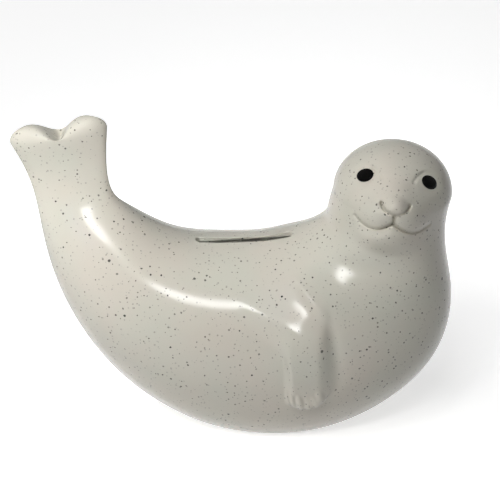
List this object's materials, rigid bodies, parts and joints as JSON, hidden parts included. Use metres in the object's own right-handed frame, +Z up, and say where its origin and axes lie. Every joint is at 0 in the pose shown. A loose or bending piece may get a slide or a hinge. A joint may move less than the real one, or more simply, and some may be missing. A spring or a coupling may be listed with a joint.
{
  "type": "ceramic coin bank",
  "caption": "Hollow glazed ceramic seal that lies on its belly with tail raised, with a coin slot in the back, black eyes and a soft plug in the foot.",
  "frame": {"origin": "on the table under the middle of the bank", "axes": "+X from the tail to the head, -Y toward the side that the face is turned to, +Z up"},
  "size_m": [0.1699, 0.084, 0.1285],
  "materials": {
    "speckled_glaze": "satin gloss glaze, warm grey beige with fine dark specks",
    "black_glaze": "glossy black glaze pooled in the eye sockets",
    "plug_rubber": "matt translucent grey soft plug"
  },
  "bodies": {
    "root": {"seal_shell": "speckled_glaze", "eye_glaze_left": "black_glaze", "eye_glaze_right": "black_glaze", "base_stopper": "plug_rubber"}
  },
  "joints": []
}
